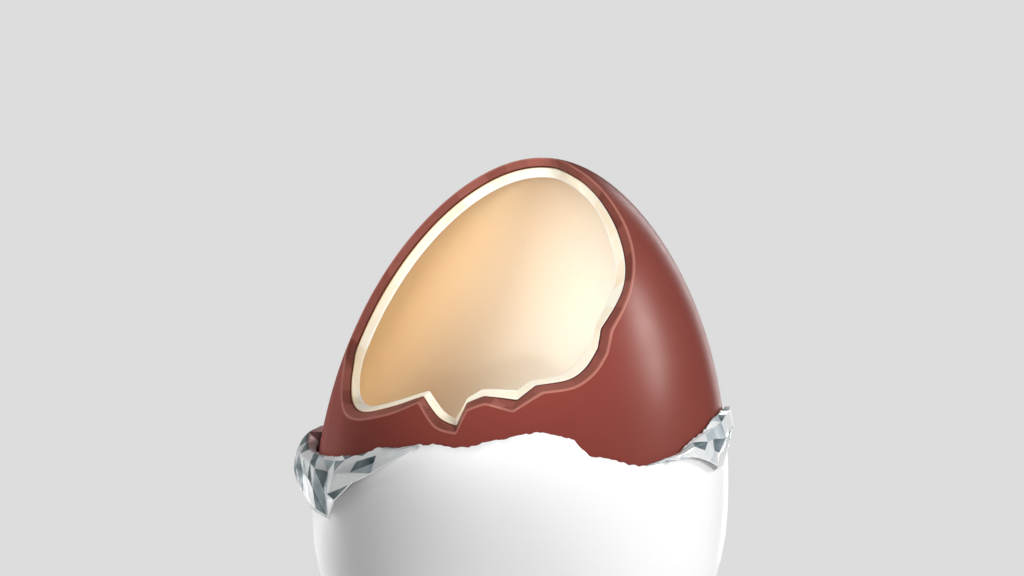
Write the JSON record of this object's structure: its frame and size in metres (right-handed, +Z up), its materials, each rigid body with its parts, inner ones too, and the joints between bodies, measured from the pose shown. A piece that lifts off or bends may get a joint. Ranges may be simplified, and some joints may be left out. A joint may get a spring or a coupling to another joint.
{
  "type": "broken open chocolate egg in torn foil",
  "caption": "Hollow chocolate egg with a white chocolate lining, broken open at the front and half unwrapped from its plain foil.",
  "frame": {"origin": "middle of the small flat spot under the foil, which the egg stands on", "axes": "+Z up along the egg's axis to the tip, -Y towards the front, -X and -Y towards the broken window, +X to the right seen from the front"},
  "size_m": [0.0454, 0.043, 0.0588],
  "materials": {
    "milk_chocolate": "smooth moulded milk chocolate with a soft gloss",
    "white_chocolate": "smooth cream-coloured white chocolate, slightly satin",
    "foil": "thin wrapping foil, white outside and bright silver inside"
  },
  "bodies": {
    "root": {"milk_chocolate_shell": "milk_chocolate", "white_chocolate_lining": "white_chocolate", "foil_wrapper": "foil"}
  },
  "joints": []
}
